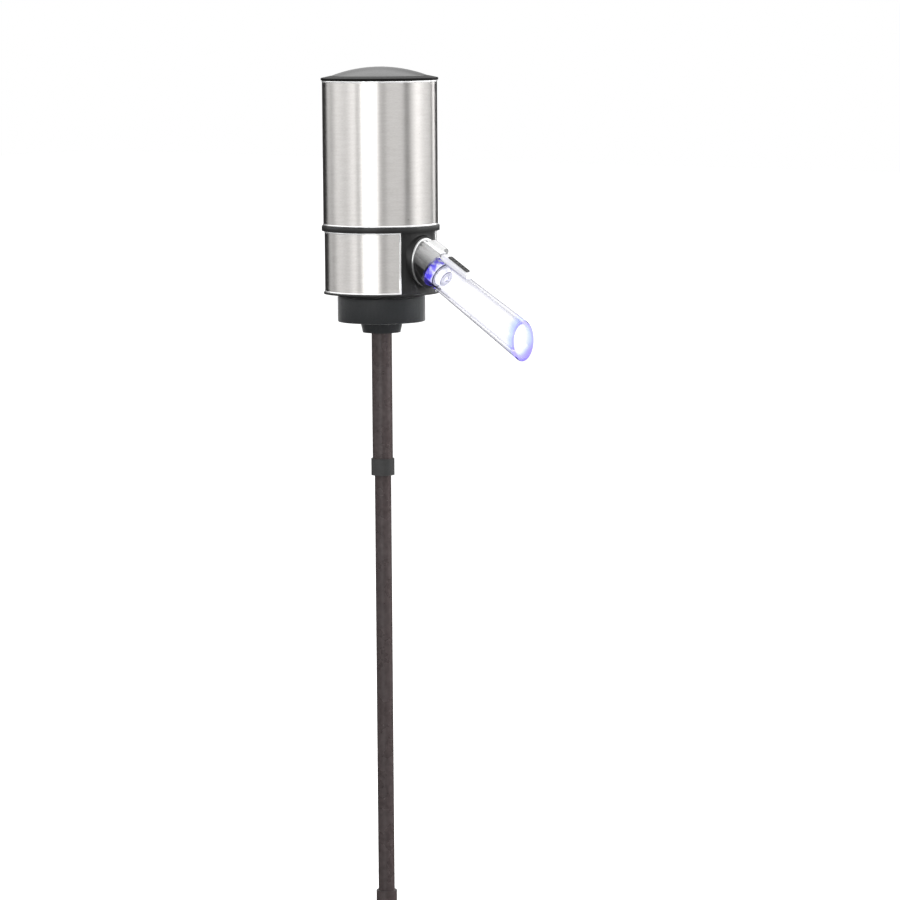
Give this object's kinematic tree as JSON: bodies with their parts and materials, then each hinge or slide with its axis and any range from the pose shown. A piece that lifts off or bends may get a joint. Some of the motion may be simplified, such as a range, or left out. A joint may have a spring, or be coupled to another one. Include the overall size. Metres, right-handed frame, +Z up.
{
  "type": "wine aerator dispenser",
  "caption": "Battery wine dispenser that plugs into a bottle's mouth: steel-sleeved head with a push-button top, sloping clear aerating spout and telescopic dip tube.",
  "frame": {"origin": "on the bottle's axis, at the plane where the bottle's rim meets the rim seal", "axes": "+Z up along the bottle's axis, +X towards the spout"},
  "size_m": [0.1033, 0.0508, 0.3704],
  "materials": {
    "brushed_steel": "fine brushing around the sleeve",
    "black_plastic": "satin moulded black",
    "chassis_plastic": "matte moulded",
    "collar_rubber": "soft matte",
    "seal_rubber": "soft matte",
    "clear_silicone": "milky silicone",
    "dip_plastic": "smoky tube",
    "chrome": "polished",
    "button_metal": "polished grey",
    "clear_acrylic": "clear, lit from its root",
    "intake_plastic": "matte moulded",
    "board_green": "solder mask",
    "led_blue": "lit blue",
    "lead_red": "wire insulation",
    "lead_black": "wire insulation",
    "pump_plastic": "natural acetal",
    "gear_plastic": "natural acetal",
    "screw_steel": "zinc plated",
    "shaft_steel": "ground",
    "bush_bronze": "sintered",
    "motor_steel": "plated sheet",
    "magnet_ferrite": "ferrite",
    "winding_copper": "enamelled copper",
    "cell_jacket": "plain jacket",
    "contact_metal": "nickel plated",
    "plunger_red": "moulded"
  },
  "bodies": {
    "base": {"lower_sleeve": "brushed_steel", "lower_body": "black_plastic", "battery_chassis": "chassis_plastic", "motor_end_cap": "chassis_plastic", "switch_body": "chassis_plastic", "bottle_collar": "collar_rubber", "stopper_plug": "collar_rubber", "rim_seal": "seal_rubber", "tube_seal": "seal_rubber", "spout_o_ring": "seal_rubber", "cap_o_ring": "seal_rubber", "pump_gasket": "seal_rubber", "shaft_seal": "seal_rubber", "outlet_hose": "clear_silicone", "dip_tube_outer": "dip_plastic", "spout_barrel": "chrome", "barrel_ring": "chrome", "spout_nozzle": "clear_acrylic", "led_board": "board_green", "switch_board": "board_green", "led_chips": "led_blue", "led_leads": "lead_red", "motor_leads": "lead_black", "pump_housing": "pump_plastic", "pump_cover": "pump_plastic", "pump_screws": "screw_steel", "flange_screws": "screw_steel", "chassis_screws": "screw_steel", "board_screws": "screw_steel", "driven_axle": "shaft_steel", "shaft_bushes": "bush_bronze", "motor_can": "motor_steel", "motor_magnets": "magnet_ferrite", "battery_cells": "cell_jacket", "contact_plates": "contact_metal", "contact_springs": "contact_metal"},
    "dip": {"dip_tube_inner": "dip_plastic", "inlet_foot": "dip_plastic"},
    "spout_tube": {"aerator_tube": "clear_acrylic", "air_intake": "intake_plastic"},
    "drive": {"drive_gear": "gear_plastic", "motor_shaft": "shaft_steel", "motor_rotor": "winding_copper"},
    "driven": {"driven_gear": "gear_plastic"},
    "cap": {"cap_barrel": "black_plastic", "upper_sleeve": "brushed_steel", "top_bezel": "black_plastic", "button_spring": "shaft_steel"},
    "button": {"power_button": "button_metal", "stem_clip": "screw_steel"},
    "switch": {"switch_plunger": "plunger_red"}
  },
  "joints": [
    {"name": "cap_lift", "type": "slide", "parent": "base", "child": "cap", "axis": [0, 0, 1], "range_m": [0, 0.065]},
    {"name": "button_press", "type": "slide", "parent": "cap", "child": "button", "axis": [0, 0, -1], "range_m": [0, 0.0015], "stiffness_N_per_m": 600, "springref_m": -0.003, "deforming": ["button_spring"]},
    {"name": "switch_press", "type": "slide", "parent": "base", "child": "switch", "axis": [0, 0, -1], "range_m": [0, 0.0015]},
    {"name": "drive_spin", "type": "hinge", "parent": "base", "child": "drive", "pos_m": [0, -0.0048, 0.01], "axis": [0, 0, 1], "continuous": true},
    {"name": "driven_spin", "type": "hinge", "parent": "base", "child": "driven", "pos_m": [0, 0.0048, 0.01], "axis": [0, 0, 1], "continuous": true},
    {"name": "tube_pull", "type": "slide", "parent": "base", "child": "spout_tube", "axis": [0.8616, 0, -0.5075], "range_m": [0, 0.022]},
    {"name": "dip_retract", "type": "slide", "parent": "base", "child": "dip", "axis": [0, 0, 1], "range_m": [0, 0.06]}
  ],
  "couplings": [
    {"joint": "switch_press", "follows": "button_press", "ratio": 1},
    {"joint": "driven_spin", "follows": "drive_spin", "ratio": -1}
  ]
}
